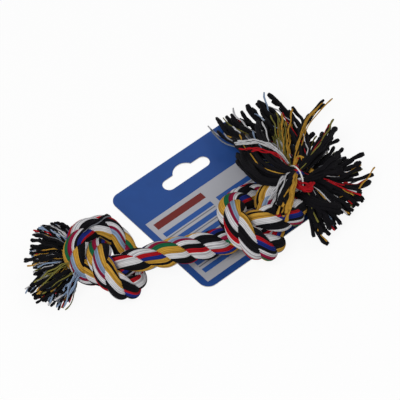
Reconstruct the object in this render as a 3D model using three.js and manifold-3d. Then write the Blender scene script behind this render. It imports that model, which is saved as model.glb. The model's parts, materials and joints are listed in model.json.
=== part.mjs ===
// Rope dog toy: a three-strand cotton rope with an overhand knot near each end. Past each knot the
// rope is frayed into three tufts, one from each strand, and every tuft is a few locks of yarn.
// The toy lies as it was put down: left knot on the table, right knot on the header card, which
// hangs on the right neck by a loop pin and swivels on it.
// Millimetres, +Z up. X runs along the toy from the left tassel to the right one. The origin is
// under the middle of the toy, on the table.
import * as THREE from 'three';
import { mergeVertices } from 'three/addons/utils/BufferGeometryUtils.js';
import Module from 'manifold-3d';

const wasm = await Module();
wasm.setup();

// Rope: three strands laid right-handed round a common axis.
const strandRadius = 3.05;
const strandOffset = 4.5;
const layPitch = 35;
const ropeDiameter = 2 * (strandOffset + strandRadius);
const strandSides = 8;
const stepsPerPitch = 9;
const fineSteps = 4;

// Drawn tight, the rope is squeezed to a share of its diameter, more in the left knot than in the
// looser right one. It is full-bodied within the first of the next two shares of the distance
// between the knots from the middle, and tight from the second.
const leftSqueezeShare = 0.81;
const rightSqueezeShare = 0.91;
const fullSpanShare = 0.14;
const tightFromShare = 0.29;

// Clearances: between two pieces, between two passes of the rope in a knot, and how far the
// underside of the left knot is pressed flat where the toy stands on it.
const pieceGap = 0.3;
const passGap = 0.5;
const flatDepth = 0.55;

// The knots: distance between them, and how far the right one lies to the side. A side of the toy
// is told by its sign along X.
const knotSpacing = 81;
const knotSideShift = 1;
const leftSide = -1;
const rightSide = 1;

// Tassels: locks of yarn.
const yarnEndRadius = 1.5;
const yarnRootRadius = 0.5;
const yarnSides = 5;
const yarnSteps = 3;
const trunkSides = 8;
const trunkSteps = 5;

// Header card: printed board with a euro hanging slot, hung by a loop pin.
const cardLength = 88;
const cardWidth = 82;
const cardThickness = 0.6;
const cardCornerRadius = 6;
const cardTurnDegrees = 23.5;
const cardLift = 1.3;
const slotLength = 32;
const slotHeight = 7.5;
const slotBumpRadius = 7.5;
const slotFromTop = 14;
const pinHoleRadius = 2;
const pinDiameter = 0.9;
const pinBarLength = 7;
const pinFromNeckEnd = 3.2;
const pinBarGap = 0.1;
const legShare = 0.9;
const ringSteps = 24;
const pinSides = 8;
const cardHoleFromRight = 16;
const cardHoleFromBottom = 13.5;

// The route of the rope through one knot, in tight diameters from the knot's centre on the table,
// from the bridge between the knots to the neck of the tassel. The right knot is the same knot
// turned half a turn about the Y axis. Each knot may lean along the rope with the distance to the side.
const knotRouteShares = [
  [2.3, -0.25, 1.2],
  [1.6, -0.33, 1.45],
  [0.9, -0.38, 1.6],
  [0.3, -0.32, 1.3],
  [-0.25, -0.2, 0.85],
  [-0.75, 0, 0.5],
  [-1.15, 0.4, 0.6],
  [-1.25, 0.95, 1.05],
  [-0.9, 1.45, 1.5],
  [-0.35, 1.7, 1.55],
  [0.3, 1.6, 1.15],
  [0.75, 1.1, 0.75],
  [0.95, 0.4, 0.5],
  [0.95, -0.4, 0.5],
  [0.85, -1.15, 0.6],
  [0.35, -1.65, 0.95],
  [-0.3, -1.6, 1.3],
  [-0.8, -1.1, 1.6],
  [-1, -0.4, 1.65],
  [-0.9, 0.3, 1.35],
  [-0.75, 0.8, 0.8],
  [-1.1, 1.15, 0.6],
  [-1.5, 1.25, 0.55],
  [-2.1, 1.2, 1.1],
];
const knotTopShare = 2.15;
const leftTiltShare = 0.2;
const rightTiltShare = 0.1;
const leftLeanShare = 0.45;
const rightLeanShare = 0;
const leanWithinShare = 1.55;
const leftNeckPoints = 23;

// Dressing the knots: the route is drawn in like a pulled rope while touching passes push each
// other apart, and is followed in steps of this share of the rope's diameter.
const stepShare = 0.12;
const skipShare = 1.35;
const respaceRounds = 10;
const drawRounds = 600;
const settleRounds = 400;
const drawShare = 0.25;
const settleShare = 0.02;

// The tufts of each tassel: the heading over the table in degrees from +X, then, as shares of the
// tassel's length, the reach from the neck, half the width and half the depth of the fan at the
// tips, and the height of its middle there. The letters are the colours of its locks.
const tasselLength = 58;
const rightTuftShares = [
  { name: 'upper', heading: 96, reach: 1.16, width: 0.41, depth: 0.1, height: 0.12, locks: 'kwkyk' },
  { name: 'middle', heading: 30, reach: 0.77, width: 0.34, depth: 0.13, height: 0.17, locks: 'kykgk' },
  { name: 'lower', heading: -50, reach: 0.58, width: 0.34, depth: 0.11, height: 0.13, locks: 'krkwk' },
];
const leftTuftShares = [
  { name: 'upper', heading: 124, reach: 0.42, width: 0.14, depth: 0.09, height: 0.12, locks: 'kwkrk' },
  { name: 'middle', heading: 173, reach: 0.44, width: 0.15, depth: 0.1, height: 0.12, locks: 'kkwyk' },
  { name: 'lower', heading: 216, reach: 0.65, width: 0.2, depth: 0.1, height: 0.12, locks: 'kbykw' },
];
const yarnColours = {
  k: ['black', '#121217'],
  w: ['white', '#c9c9cc'],
  y: ['yellow', '#ce9a2b'],
  r: ['red', '#b5151c'],
  b: ['blue', '#8fa3bc'],
  g: ['grey', '#8a8d94'],
};

// A tuft's section is a unit disc of five cells, one lock in each, stretched into the fan. In each
// cell a lock's trunk parts into three ends of yarn. Lengths of the ends follow a golden-ratio sequence.
const cellSpotShares = [[0, 0], [0.57, 0.34], [-0.57, 0.34], [-0.57, -0.34], [0.57, -0.34]];
const endSpotShares = [[-0.19, 0.04], [0.01, -0.05], [0.2, 0.05]];
const goldenShare = 0.618;
const shortestShare = 0.76;
const trunkShare = 0.6;
const trunkFillShare = 0.24;
const yarnFillShare = 0.135;
const overlapShare = 0.03;
const startSpotShare = 0.6;
const leadShare = 0.2;
const approachShare = 0.4;
const spreadByShare = 0.9;

const vec = (x, y, z) => new THREE.Vector3(x, y, z);
const rightLevel = cardLift + cardThickness + 2 * pieceGap;

const squeezeOf = (side) => (side < 0 ? leftSqueezeShare : rightSqueezeShare);

function knotPoints(side, tiltShare, leanShare) {
  const tightDiameter = ropeDiameter * squeezeOf(side);
  return knotRouteShares.map(([x, y, z]) => {
    const lean = Math.abs(x) < leanWithinShare ? leanShare * y : 0;
    return vec(
      side * (knotSpacing / 2 - (x + lean) * tightDiameter),
      side * knotSideShift / 2 + y * tightDiameter,
      ((side > 0 ? knotTopShare - z : z) + tiltShare * y) * tightDiameter,
    );
  });
}

function evenly(points, step) {
  const curve = new THREE.CatmullRomCurve3(points, false, 'centripetal');
  curve.arcLengthDivisions = points.length * 40;
  return curve.getSpacedPoints(Math.round(curve.getLength() / step));
}

function dress(start) {
  const nearAt = (p) => ropeDiameter * squeezeOf(Math.sign(p.x)) + passGap;
  const skip = Math.ceil(skipShare / stepShare);
  let points = start;
  for (let round = 0; round < drawRounds + settleRounds; round += 1) {
    const pull = round < drawRounds ? drawShare : settleShare;
    if (round % respaceRounds === 0) points = evenly(points, stepShare * ropeDiameter);
    const old = points.map((p) => p.clone());
    for (let i = 1; i < points.length - 1; i += 1) {
      const middle = old[i - 1].clone().add(old[i + 1]).multiplyScalar(1 / 2);
      points[i].lerp(middle, pull);
    }
    for (let i = 0; i < points.length; i += 1) {
      const near = nearAt(points[i]);
      for (let j = i + skip; j < points.length; j += 1) {
        const apart = points[j].clone().sub(points[i]);
        const distance = apart.length();
        if (distance < near) {
          apart.multiplyScalar((near - distance) / distance / 2);
          points[j].add(apart);
          points[i].sub(apart);
        }
      }
    }
  }
  return points;
}

// Frames carried along a line of points without twist.
function carriedFrames(points, firstSide = vec(0, 0, 1)) {
  let side = firstSide;
  return points.map((centre, i) => {
    const before = points[Math.max(i - 1, 0)];
    const after = points[Math.min(i + 1, points.length - 1)];
    const along = after.clone().sub(before).normalize();
    side = side.clone().addScaledVector(along, -side.dot(along)).normalize();
    return { centre, along, side, up: along.clone().cross(side) };
  });
}

function lengthOf(points) {
  return points.slice(1).reduce((sum, p, i) => sum + p.distanceTo(points[i]), 0);
}

function fullnessAt(point) {
  const away = Math.abs(point.x) / knotSpacing;
  const tight = THREE.MathUtils.smoothstep(away, fullSpanShare, tightFromShare);
  return THREE.MathUtils.lerp(1, squeezeOf(Math.sign(point.x)), tight);
}

// The middle lines of the three strands, laid round the route of the rope.
function strandLinesOf(points) {
  const count = Math.round(lengthOf(points) / layPitch * stepsPerPitch) * fineSteps;
  const curve = new THREE.CatmullRomCurve3(points, false, 'centripetal');
  curve.arcLengthDivisions = points.length * fineSteps;
  const frames = carriedFrames(curve.getSpacedPoints(count));
  const step = lengthOf(points) / count;
  return [0, 1, 2].map((strand) => frames.map((f, k) => {
    const angle = 2 * Math.PI * (strand / 3 + k * step / layPitch);
    const offset = strandOffset * fullnessAt(f.centre);
    return f.centre.clone()
      .addScaledVector(f.side, offset * Math.cos(angle))
      .addScaledVector(f.up, offset * Math.sin(angle));
  }).filter((_, k) => k % fineSteps === 0));
}

// Sets the left knot down on the table and the right one on the card.
function setDown(points) {
  const onStrands = strandLinesOf(points).flat();
  const lowest = (side) => Math.min(...onStrands.filter((p) => side * p.x > 0).map((p) => p.z));
  const leftDrop = lowest(leftSide) - strandRadius * leftSqueezeShare + flatDepth;
  const rightDrop = lowest(rightSide) - strandRadius * rightSqueezeShare - rightLevel;
  return points.map((p) => {
    const share = THREE.MathUtils.smoothstep(p.x, -knotSpacing / 4, knotSpacing / 4);
    return vec(p.x, p.y, p.z - THREE.MathUtils.lerp(leftDrop, rightDrop, share));
  });
}

const leftPart = knotPoints(leftSide, leftTiltShare, leftLeanShare).slice(0, leftNeckPoints).reverse();
const rightPart = knotPoints(rightSide, rightTiltShare, rightLeanShare);
const route = setDown(setDown(dress([...leftPart, ...rightPart])));
const ropeLength = lengthOf(route);

function leastSelfGap(points) {
  const skip = Math.ceil(skipShare / stepShare);
  let least = Infinity;
  for (let i = 0; i < points.length; i += 1) {
    for (let j = i + skip; j < points.length; j += 1) {
      least = Math.min(least, points[i].distanceTo(points[j]));
    }
  }
  return least - ropeDiameter * leftSqueezeShare;
}

console.log('least gap between two passes of the rope', leastSelfGap(route).toFixed(2), 'mm');
console.log('rope between the tassels', ropeLength.toFixed(1), 'mm');

// A closed tube through rings of points, with flat ends.
function sweep(rings, closed = false) {
  const sides = rings[0].length;
  const positions = rings.flat().flatMap((p) => [p.x, p.y, p.z]);
  const index = [];
  const bands = closed ? rings.length : rings.length - 1;
  for (let k = 0; k < bands; k += 1) {
    for (let i = 0; i < sides; i += 1) {
      const a = k * sides + i;
      const b = k * sides + (i + 1) % sides;
      const nextA = ((k + 1) % rings.length) * sides + i;
      const nextB = ((k + 1) % rings.length) * sides + (i + 1) % sides;
      index.push(a, b, nextB, a, nextB, nextA);
    }
  }
  for (let i = 1; i < sides - 1 && !closed; i += 1) {
    const last = (rings.length - 1) * sides;
    index.push(0, i + 1, i, last, last + i, last + i + 1);
  }
  const geometry = new THREE.BufferGeometry();
  geometry.setAttribute('position', new THREE.Float32BufferAttribute(positions, 3));
  geometry.setIndex(index);
  return geometry;
}

function ovalRing(frame, width, depth, sides) {
  return Array.from({ length: sides }, (_, i) => {
    const angle = 2 * Math.PI * i / sides;
    return frame.centre.clone()
      .addScaledVector(frame.side, width * Math.cos(angle))
      .addScaledVector(frame.up, depth * Math.sin(angle));
  });
}

const roundRing = (frame, radius, sides) => ovalRing(frame, radius, radius, sides);

function solidOf(geometry) {
  const bare = geometry.clone();
  bare.deleteAttribute('normal');
  bare.deleteAttribute('uv');
  const merged = mergeVertices(bare);
  return new wasm.Manifold(new wasm.Mesh({
    numProp: 3,
    vertProperties: new Float32Array(merged.attributes.position.array),
    triVerts: new Uint32Array(merged.index.array),
  }));
}

function geometryOf(solid) {
  const mesh = solid.getMesh();
  const geometry = new THREE.BufferGeometry();
  geometry.setAttribute('position', new THREE.BufferAttribute(mesh.vertProperties, 3));
  geometry.setIndex(new THREE.BufferAttribute(mesh.triVerts, 1));
  return geometry;
}

const joined = (solids) => solids.reduce((whole, next) => whole.add(next));

const toy = new THREE.Group();

function addMesh(name, geometry, colour, roughness, parent = toy) {
  geometry.computeVertexNormals();
  const material = new THREE.MeshStandardMaterial({ color: colour, roughness, metalness: 0 });
  const mesh = new THREE.Mesh(geometry, material);
  mesh.name = name;
  parent.add(mesh);
  return mesh;
}

// The strands, each one unbroken from neck to neck.
const strandNames = ['strand_red', 'strand_yellow', 'strand_white'];
const strandColours = ['#b5151c', '#ce9a2b', '#c9c9cc'];
const strandLines = strandLinesOf(route);
const tableBlock = solidOf(new THREE.BoxGeometry(4 * knotSpacing, 4 * knotSpacing, ropeDiameter)
  .translate(0, 0, -ropeDiameter / 2));

strandLines.forEach((line, i) => {
  const frames = carriedFrames(line);
  const radiusAt = (f) => strandRadius * fullnessAt(f.centre);
  const tube = solidOf(sweep(frames.map((f) => roundRing(f, radiusAt(f), strandSides))));
  addMesh(strandNames[i], geometryOf(tube.subtract(tableBlock)), strandColours[i], 0.9);
});

// One tuft: its axis leaves the end of a strand along the rope and comes round to its heading.
function tuftSections(root, along, tuft, endRadius) {
  const heading = THREE.MathUtils.degToRad(tuft.heading);
  const out = vec(Math.cos(heading), Math.sin(heading), 0);
  const reach = tuft.reach * tasselLength;
  const tip = root.clone().addScaledVector(out, reach);
  tip.z = tuft.height * tasselLength;
  const axis = new THREE.CubicBezierCurve3(
    root,
    root.clone().addScaledVector(along, leadShare * reach),
    tip.clone().addScaledVector(out, -approachShare * reach),
    tip,
  );
  return (share) => {
    const t = Math.min(share, 1);
    const tangent = axis.getTangent(t);
    const level = vec(-Math.sin(heading), Math.cos(heading), 0);
    const wide = level.addScaledVector(tangent, -level.dot(tangent)).normalize();
    const deep = tangent.clone().cross(wide);
    const spread = THREE.MathUtils.smoothstep(t, 0, spreadByShare);
    return {
      centre: axis.getPoint(t),
      side: wide,
      up: deep,
      along: tangent,
      halfWidth: THREE.MathUtils.lerp(endRadius, tuft.width * tasselLength, spread),
      halfDepth: THREE.MathUtils.lerp(endRadius, tuft.depth * tasselLength, spread),
      spread,
    };
  };
}

function lockSolid(sectionAt, cell, lockIndex) {
  const [cellX, cellY] = cellSpotShares[cell];
  const trunk = Array.from({ length: trunkSteps + 1 }, (_, step) => {
    const s = sectionAt(trunkShare * step / trunkSteps);
    const centre = s.centre.clone()
      .addScaledVector(s.side, cellX * s.halfWidth)
      .addScaledVector(s.up, cellY * s.halfDepth);
    return ovalRing({ ...s, centre }, trunkFillShare * s.halfWidth, trunkFillShare * s.halfDepth, trunkSides);
  });
  const ends = endSpotShares.map(([x, y], k) => {
    const order = (lockIndex * endSpotShares.length + k + 1) * goldenShare;
    const reachShare = THREE.MathUtils.lerp(shortestShare, 1, order % 1);
    const start = trunkShare - overlapShare;
    const rings = Array.from({ length: yarnSteps + 1 }, (_, step) => {
      const t = THREE.MathUtils.lerp(start, reachShare, step / yarnSteps);
      const s = sectionAt(t);
      const parted = THREE.MathUtils.lerp(startSpotShare, 1, step / yarnSteps);
      const centre = s.centre.clone()
        .addScaledVector(s.side, (cellX + x * parted) * s.halfWidth)
        .addScaledVector(s.up, (cellY + y * parted) * s.halfDepth);
      const open = Math.min(2 * step / yarnSteps, 1);
      const room = yarnFillShare * Math.sqrt(s.halfWidth * s.halfDepth);
      const radius = THREE.MathUtils.lerp(yarnRootRadius, Math.min(yarnEndRadius, room), open);
      return ovalRing({ ...s, centre }, radius, radius, yarnSides);
    });
    return solidOf(sweep(rings));
  });
  return joined([solidOf(sweep(trunk)), ...ends]);
}

// A tassel: one tuft on each strand, the strand ends taken in the order of the headings.
function addTassel(side, tufts) {
  const ends = strandLines.map((line) => {
    const ordered = side < 0 ? [...line].reverse() : line;
    const last = ordered.at(-1);
    const along = last.clone().sub(ordered.at(-2)).normalize();
    return { root: last.clone().addScaledVector(along, pieceGap), along };
  });
  const neckAlong = ends.reduce((sum, e) => sum.add(e.along), vec(0, 0, 0)).normalize();
  const across = vec(-neckAlong.y, neckAlong.x, 0).multiplyScalar(side);
  ends.sort((a, b) => b.root.dot(across) - a.root.dot(across));
  tufts.forEach((tuft, index) => {
    const end = ends[index];
    const sectionAt = tuftSections(end.root, end.along, tuft, strandRadius * squeezeOf(side));
    const counts = {};
    [...tuft.locks].forEach((key, cell) => {
      const [word, colour] = yarnColours[key];
      counts[word] = (counts[word] ?? 0) + 1;
      const name = `${side < 0 ? 'left' : 'right'}_${tuft.name}_tuft_${word}_lock_${counts[word]}`;
      const lock = lockSolid(sectionAt, cell, index * cellSpotShares.length + cell);
      addMesh(name, geometryOf(lock), colour, 0.95);
    });
  });
}

addTassel(leftSide, leftTuftShares);
addTassel(rightSide, rightTuftShares);

// The loop pin: a ring round the right neck, a straight leg down through the card, and a cross bar
// under the card.
const neckIndex = Math.round((route.length - 1) * (1 - pinFromNeckEnd / ropeLength));
const neckFrames = carriedFrames(route);
const neck = neckFrames[neckIndex];
const upright = vec(0, 0, 1).addScaledVector(neck.along, -neck.along.z).normalize();
const ringRadius = ropeDiameter / 2 * rightSqueezeShare + pieceGap + pinDiameter / 2;
const ringFrame = { centre: neck.centre, side: upright, up: neck.along.clone().cross(upright) };
const ringLine = roundRing(ringFrame, ringRadius, ringSteps);
const backward = neck.along.clone().negate();
const ringRings = ringLine.map((p, i) => {
  const outward = p.clone().sub(neck.centre).normalize();
  return roundRing({ centre: p, side: outward, up: backward }, pinDiameter / 2, pinSides);
});
const foot = ringLine[ringSteps / 2];
const barHeight = pinDiameter / 2 + pinBarGap;
const legTop = foot.clone();
legTop.z -= pinDiameter / 4;
const legFrames = [vec(foot.x, foot.y, barHeight), legTop]
  .map((centre) => ({ centre, side: vec(1, 0, 0), up: vec(0, 1, 0) }));
const turn = THREE.MathUtils.degToRad(cardTurnDegrees);
const barAlong = vec(Math.cos(turn), Math.sin(turn), 0);
const barFrames = [-pinBarLength / 2, pinBarLength / 2].map((reach) => ({
  centre: vec(foot.x, foot.y, barHeight).addScaledVector(barAlong, reach),
  side: vec(-Math.sin(turn), Math.cos(turn), 0),
  up: vec(0, 0, 1),
}));
const pin = joined([
  solidOf(sweep(ringRings, true)),
  solidOf(sweep(legFrames.map((f) => roundRing(f, pinDiameter / 2 * legShare, pinSides)))),
  solidOf(sweep(barFrames.map((f) => roundRing(f, pinDiameter / 2, pinSides)))),
]);
addMesh('loop_pin', geometryOf(pin), '#dcdcd8', 0.4);

// The card, drawn from its pin hole. Its far end dips to the table by the height of the lift over
// the card's reach, and it turns in its own plane.
function cardOutline() {
  const left = cardHoleFromRight - cardLength;
  const right = cardHoleFromRight;
  const low = -cardHoleFromBottom;
  const high = cardWidth - cardHoleFromBottom;
  const r = cardCornerRadius;
  const shape = new THREE.Shape();
  shape.moveTo(left + r, low);
  shape.lineTo(right - r, low);
  shape.absarc(right - r, low + r, r, -Math.PI / 2, 0);
  shape.lineTo(right, high - r);
  shape.absarc(right - r, high - r, r, 0, Math.PI / 2);
  shape.lineTo(left + r, high);
  shape.absarc(left + r, high - r, r, Math.PI / 2, Math.PI);
  shape.lineTo(left, low + r);
  shape.absarc(left + r, low + r, r, Math.PI, Math.PI * 3 / 2);
  const half = slotLength / 2 - slotHeight / 2;
  const middle = (left + right) / 2;
  const line = high - slotFromTop;
  const meet = Math.acos(slotHeight / 2 / slotBumpRadius);
  const slot = new THREE.Path();
  slot.absarc(middle + half, line, slotHeight / 2, Math.PI / 2, -Math.PI / 2, true);
  slot.absarc(middle - half, line, slotHeight / 2, -Math.PI / 2, -Math.PI * 3 / 2, true);
  slot.absarc(middle, line, slotBumpRadius, Math.PI / 2 + meet, Math.PI / 2 - meet, true);
  const hole = new THREE.Path();
  hole.absarc(0, 0, pinHoleRadius, 0, Math.PI * 2);
  shape.holes.push(slot, hole);
  return shape;
}

const cardReach = Math.hypot(cardLength - cardHoleFromRight, cardWidth - cardHoleFromBottom);
const cardGeometry = new THREE.ExtrudeGeometry(cardOutline(), {
  depth: cardThickness,
  bevelEnabled: false,
  curveSegments: 6,
});
const cardTilt = new THREE.Group();
const cardTurn = new THREE.Group();
cardTurn.position.set(foot.x, foot.y, cardLift);
cardTurn.rotation.z = turn;
cardTilt.rotation.y = -Math.asin(cardLift / cardReach);
cardTurn.add(cardTilt);
toy.add(cardTurn);
addMesh('header_card', cardGeometry, '#2a4f93', 0.5, cardTilt);

// The origin goes under the middle of the toy.
const box = new THREE.Box3().setFromObject(toy, true);
const middle = box.getCenter(vec(0, 0, 0));
toy.position.set(-middle.x, -middle.y, -box.min.z);
console.log('origin lies', middle.x.toFixed(3), middle.y.toFixed(3), 'from the middle of the knots');
console.log('pin axis', (foot.x - middle.x).toFixed(3), (foot.y - middle.y).toFixed(3));

export default toy;
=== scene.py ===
import json
import math

import bpy
import numpy as np
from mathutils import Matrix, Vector


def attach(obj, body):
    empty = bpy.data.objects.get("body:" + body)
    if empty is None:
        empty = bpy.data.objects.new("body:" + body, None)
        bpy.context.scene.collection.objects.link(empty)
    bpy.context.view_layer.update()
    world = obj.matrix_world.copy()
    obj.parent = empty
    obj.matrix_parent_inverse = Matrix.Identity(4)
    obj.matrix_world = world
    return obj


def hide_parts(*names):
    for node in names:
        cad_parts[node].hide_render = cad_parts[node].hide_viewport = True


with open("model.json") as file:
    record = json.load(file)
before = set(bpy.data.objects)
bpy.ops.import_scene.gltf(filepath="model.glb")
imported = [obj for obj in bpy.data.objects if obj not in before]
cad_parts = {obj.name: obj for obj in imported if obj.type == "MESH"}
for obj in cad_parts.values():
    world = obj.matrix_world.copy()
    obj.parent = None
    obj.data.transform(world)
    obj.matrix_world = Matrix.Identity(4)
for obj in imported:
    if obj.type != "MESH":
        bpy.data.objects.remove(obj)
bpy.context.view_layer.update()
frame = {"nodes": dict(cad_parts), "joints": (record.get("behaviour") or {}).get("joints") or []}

# Rope dog toy, dressed over the CAD frame. Lengths are written in millimetres and turned into
# Blender's metres where a mesh, a lamp or the camera is made.
mm = 0.001
tiny = 1e-6  # keeps a division from meeting zero
cardHinge = np.array(frame["joints"][0]["pos_m"]) / mm  # the pin's hole in the card


# The rope as the CAD lays it: the route of one knot, given in tight rope diameters, from the
# bridge between the knots to the neck of the tassel, and how the knots are dressed.
ropeRoute = {
    "strands": 3,
    "strandRadius": 3.05,
    "strandOffset": 4.5,
    "layPitch": 35,
    "squeeze": {"left": 0.81, "right": 0.91},
    "fullSpan": 0.14,
    "tightFrom": 0.29,
    "knotSpacing": 81,
    "knotSideShift": 1,
    "knotTop": 2.15,
    "tilt": {"left": 0.2, "right": 0.1},
    "lean": {"left": 0.45, "right": 0},
    "leanWithin": 1.55,
    "leftNeckPoints": 23,
    "passGap": 0.5,
    "pushMargin": 1,
    "flatDepth": 0.55,
    "rightLevel": 2.5,
    "stepShare": 0.12,
    "skipShare": 1.35,
    "respaceRounds": 10,
    "drawRounds": 600,
    "settleRounds": 400,
    "drawShare": 0.25,
    "settleShare": 0.02,
    "drawnDivisions": 40,  # of the curve for each point, to measure its length
    "laidDivisions": 4,
    "laidStep": 1,
    "setDownRounds": 2,
    "setDownShare": 0.25,
    "pinFromNeckEnd": 3.2,
    "pinRingGap": 0.75,
    "knot": [
        (2.3, -0.25, 1.2), (1.6, -0.33, 1.45), (0.9, -0.38, 1.6), (0.3, -0.32, 1.3),
        (-0.25, -0.2, 0.85), (-0.75, 0, 0.5), (-1.15, 0.4, 0.6), (-1.25, 0.95, 1.05),
        (-0.9, 1.45, 1.5), (-0.35, 1.7, 1.55), (0.3, 1.6, 1.15), (0.75, 1.1, 0.75),
        (0.95, 0.4, 0.5), (0.95, -0.4, 0.5), (0.85, -1.15, 0.6), (0.35, -1.65, 0.95),
        (-0.3, -1.6, 1.3), (-0.8, -1.1, 1.6), (-1, -0.4, 1.65), (-0.9, 0.3, 1.35),
        (-0.75, 0.8, 0.8), (-1.1, 1.15, 0.6), (-1.5, 1.25, 0.55), (-2.1, 1.2, 1.1),
    ],
}
ropeDiameter = 2 * (ropeRoute["strandOffset"] + ropeRoute["strandRadius"])
sideOf = {"left": -1, "right": 1}  # which way each end of the toy lies along x
bothSides = np.array((sideOf["left"], sideOf["right"]))


def unit(v):
    return v / np.linalg.norm(v, axis=-1, keepdims=True)


def smoothStep(x, low=0.0, high=1.0):
    t = np.clip((x - low) / (high - low), 0, 1)
    return t * t * (3 - 2 * t)


def splineAt(points, t):
    # centripetal Catmull-Rom through the points, as the CAD uses
    last = len(points) - 1
    place = np.clip(t, 0, 1) * last
    i = np.minimum(place.astype(int), last - 1)
    w = (place - i)[:, None]
    ends = np.vstack([2 * points[0] - points[1], points, 2 * points[-1] - points[-2]])
    p0, p1, p2, p3 = ends[i], ends[i + 1], ends[i + 2], ends[i + 3]
    d0 = np.sqrt(np.linalg.norm(p1 - p0, axis=1))[:, None]
    d1 = np.sqrt(np.linalg.norm(p2 - p1, axis=1))[:, None]
    d2 = np.sqrt(np.linalg.norm(p3 - p2, axis=1))[:, None]
    t1 = ((p1 - p0) / d0 - (p2 - p0) / (d0 + d1) + (p2 - p1) / d1) * d1
    t2 = ((p2 - p1) / d1 - (p3 - p1) / (d1 + d2) + (p3 - p2) / d2) * d1
    return p1 + t1 * w + (3 * (p2 - p1) - 2 * t1 - t2) * w**2 + (2 * (p1 - p2) + t1 + t2) * w**3


def evenPoints(points, divisions, count=None, step=None):
    # points at even steps along the spline, as many as count or step says
    t = np.linspace(0, 1, divisions + 1)
    fine = splineAt(points, t)
    run = np.concatenate([[0], np.cumsum(np.linalg.norm(np.diff(fine, axis=0), axis=1))])
    pieces = count or int(math.floor(run[-1] / step + 0.5))
    return splineAt(points, np.interp(np.linspace(0, run[-1], pieces + 1), run, t))


def squeezeAt(x, r):
    return np.where(x < 0, r["squeeze"]["left"], r["squeeze"]["right"])


def fullnessAt(x, r):
    # the rope is full-bodied in the middle of the bridge and squeezed in the knots
    tight = smoothStep(np.abs(x) / r["knotSpacing"], r["fullSpan"], r["tightFrom"])
    return 1 + (squeezeAt(x, r) - 1) * tight


def pushApart(points, near, skip, margin):
    # touching passes push each other apart, pair by pair in order
    gaps = np.linalg.norm(points[:, None] - points[None], axis=2)
    first, second = np.nonzero(np.triu(gaps < near.max() + margin, skip))
    p = points.tolist()
    held = None
    for i, j in zip(first.tolist(), second.tolist()):
        if i != held:
            held, least = i, near[0] if p[i][0] < 0 else near[1]
        a, b = p[i], p[j]
        x, y, z = b[0] - a[0], b[1] - a[1], b[2] - a[2]
        gap = math.sqrt(x * x + y * y + z * z)
        if gap < least:
            k = (least - gap) / gap / 2
            p[j] = [b[0] + x * k, b[1] + y * k, b[2] + z * k]
            p[i] = [a[0] - x * k, a[1] - y * k, a[2] - z * k]
    return np.array(p)


def dressKnots(points, r):
    near = ropeDiameter * squeezeAt(bothSides, r) + r["passGap"]
    skip = math.ceil(r["skipShare"] / r["stepShare"])
    for turn in range(r["drawRounds"] + r["settleRounds"]):
        pull = r["drawShare"] if turn < r["drawRounds"] else r["settleShare"]
        if turn % r["respaceRounds"] == 0:
            divisions = len(points) * r["drawnDivisions"]
            points = evenPoints(points, divisions, step=r["stepShare"] * ropeDiameter)
        middle = (points[:-2] + points[2:]) / 2
        points = points.copy()
        points[1:-1] += (middle - points[1:-1]) * pull
        points = pushApart(points, near, skip, r["pushMargin"])
    return points


def carriedFrames(points, side=(0, 0, 1)):
    # frames carried along a line without twist
    along = unit(np.vstack([points[1] - points[0], points[2:] - points[:-2], points[-1] - points[-2]]))
    sides = np.empty_like(points)
    side = np.array(side, float)
    for i, a in enumerate(along):
        side = side - a * side.dot(a)
        side /= np.linalg.norm(side)
        sides[i] = side
    return along, sides, np.cross(along, sides)


def strandLinesOf(points, r, offset, stepLength, fullness):
    # fullness gives, along a line, the share of the offset that is left
    length = np.linalg.norm(np.diff(points, axis=0), axis=1).sum()
    line = evenPoints(points, len(points) * r["laidDivisions"], count=int(round(length / stepLength)))
    along, side, up = carriedFrames(line)
    run = np.linspace(0, length, len(line))
    held = (offset * fullness(line))[:, None]
    lines = []
    for strand in range(r["strands"]):
        angle = 2 * math.pi * (strand / r["strands"] + run / r["layPitch"])[:, None]
        lines.append(line + held * (side * np.cos(angle) + up * np.sin(angle)))
    return line, side, up, run, lines


def cadStrands(points, r, shift=0):
    # the middle lines of the strands as the CAD lays them
    return strandLinesOf(
        points, r, r["strandOffset"], r["laidStep"], lambda line: fullnessAt(line[:, 0] - shift, r))[-1]


def knotPoints(r, word):
    # the right knot is the left one turned over
    side = sideOf[word]
    d = ropeDiameter * r["squeeze"][word]
    points = []
    for x, y, z in r["knot"]:
        lean = r["lean"][word] * y if abs(x) < r["leanWithin"] else 0
        height = (r["knotTop"] - z if side > 0 else z) + r["tilt"][word] * y
        points.append((
            side * (r["knotSpacing"] / 2 - (x + lean) * d),
            side * r["knotSideShift"] / 2 + y * d,
            height * d,
        ))
    return points


def layRoute(r):
    left = knotPoints(r, "left")[: r["leftNeckPoints"]][::-1]
    points = dressKnots(np.array(left + knotPoints(r, "right"), float), r)
    radius = r["strandRadius"] * squeezeAt(bothSides, r)
    blend = r["setDownShare"] * r["knotSpacing"]
    for _ in range(r["setDownRounds"]):  # the left knot on the table and the right one on the card
        onStrands = np.vstack(cadStrands(points, r))
        leftDrop = onStrands[onStrands[:, 0] < 0, 2].min() - radius[0] + r["flatDepth"]
        rightDrop = onStrands[onStrands[:, 0] > 0, 2].min() - radius[1] - r["rightLevel"]
        share = smoothStep(points[:, 0], -blend, blend)
        points = points - np.outer(leftDrop + (rightDrop - leftDrop) * share, (0, 0, 1))
    return points


def shiftToFrame(points, r):
    # the pin hangs on the right neck, so its joint tells where the CAD's frame has the route
    length = np.linalg.norm(np.diff(points, axis=0), axis=1).sum()
    i = int(round((len(points) - 1) * (1 - r["pinFromNeckEnd"] / length)))
    along = unit(points[i + 1] - points[i - 1])
    upright = unit(np.array((0, 0, 1)) - along * along[2])
    foot = points[i] - upright * (ropeDiameter / 2 * r["squeeze"]["right"] + r["pinRingGap"])
    return (cardHinge - foot) * (1, 1, 0)


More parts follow.
